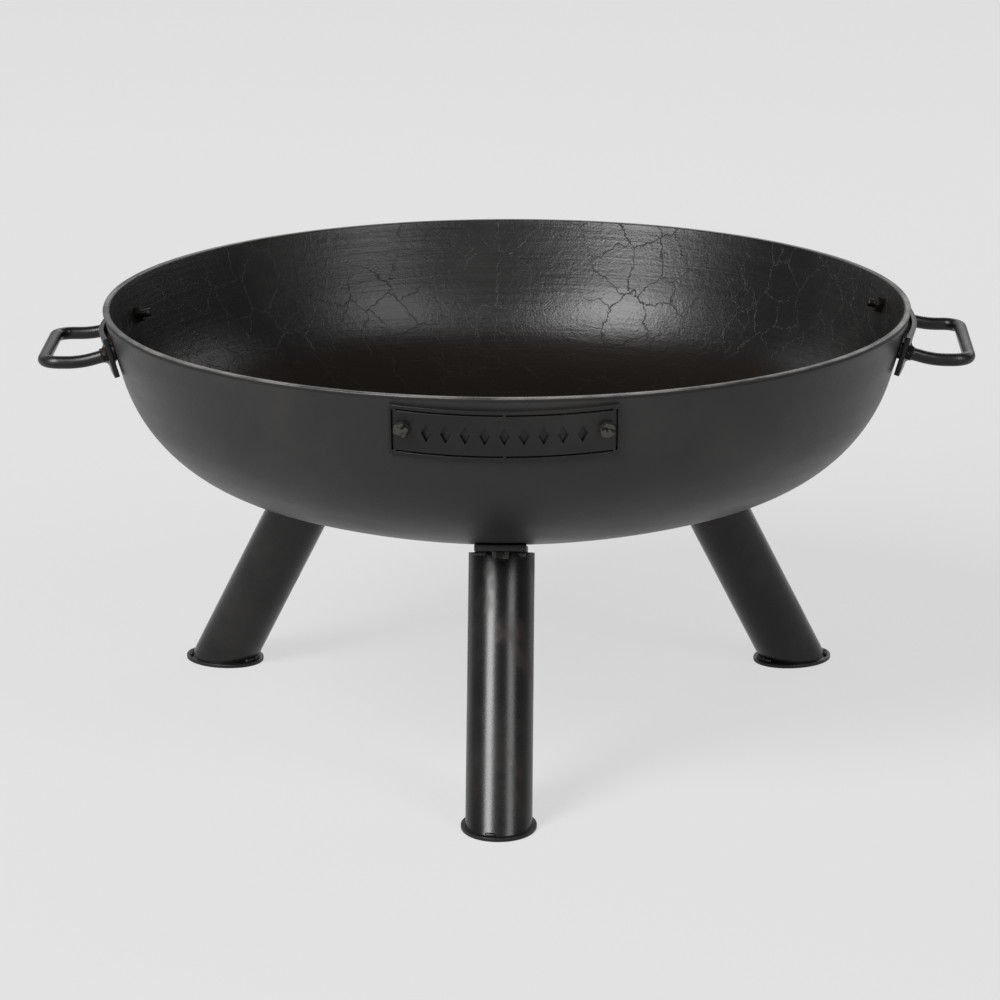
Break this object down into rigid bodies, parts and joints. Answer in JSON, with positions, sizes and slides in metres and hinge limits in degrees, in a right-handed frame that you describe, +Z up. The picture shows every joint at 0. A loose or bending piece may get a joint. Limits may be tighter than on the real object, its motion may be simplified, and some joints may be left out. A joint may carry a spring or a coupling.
{
  "type": "fire bowl",
  "caption": "Round dished steel fire bowl on splayed tube legs, with rod loop handles bolted at the sides and a slotted nameplate strip on the front wall.",
  "frame": {"origin": "on the floor, under the middle of the bowl", "axes": "+X towards one handle, +Y to the back, +Z up; the nameplate and the single front leg are on the -Y side"},
  "size_m": [0.8797, 0.7627, 0.408],
  "materials": {
    "bowl_steel": "satin black, finely crackled inside",
    "leg_steel": "satin black over smooth tube",
    "plate_steel": "satin black",
    "handle_steel": "satin black",
    "nameplate_steel": "satin black, bare brown edges in the slots",
    "fastener_steel": "dull plated steel, lightly rusted"
  },
  "bodies": {
    "root": {"bowl": "bowl_steel", "leg_tube_front": "leg_steel", "leg_plate_front": "plate_steel", "foot_plate_front": "plate_steel", "leg_bolt_front": "fastener_steel", "leg_nut_front": "fastener_steel", "leg_tube_right": "leg_steel", "leg_plate_right": "plate_steel", "foot_plate_right": "plate_steel", "leg_bolt_right": "fastener_steel", "leg_nut_right": "fastener_steel", "leg_tube_left": "leg_steel", "leg_plate_left": "plate_steel", "foot_plate_left": "plate_steel", "leg_bolt_left": "fastener_steel", "leg_nut_left": "fastener_steel", "handle_rod_right": "handle_steel", "handle_strip_right": "handle_steel", "handle_bolt_right_front": "fastener_steel", "handle_nut_right_front": "fastener_steel", "handle_spacer_right_front": "fastener_steel", "handle_bolt_right_rear": "fastener_steel", "handle_nut_right_rear": "fastener_steel", "handle_spacer_right_rear": "fastener_steel", "handle_rod_left": "handle_steel", "handle_strip_left": "handle_steel", "handle_bolt_left_front": "fastener_steel", "handle_nut_left_front": "fastener_steel", "handle_spacer_left_front": "fastener_steel", "handle_bolt_left_rear": "fastener_steel", "handle_nut_left_rear": "fastener_steel", "handle_spacer_left_rear": "fastener_steel", "nameplate": "nameplate_steel", "nameplate_bolt_left": "fastener_steel", "nameplate_nut_left": "fastener_steel", "nameplate_bolt_right": "fastener_steel", "nameplate_nut_right": "fastener_steel"}
  },
  "joints": []
}
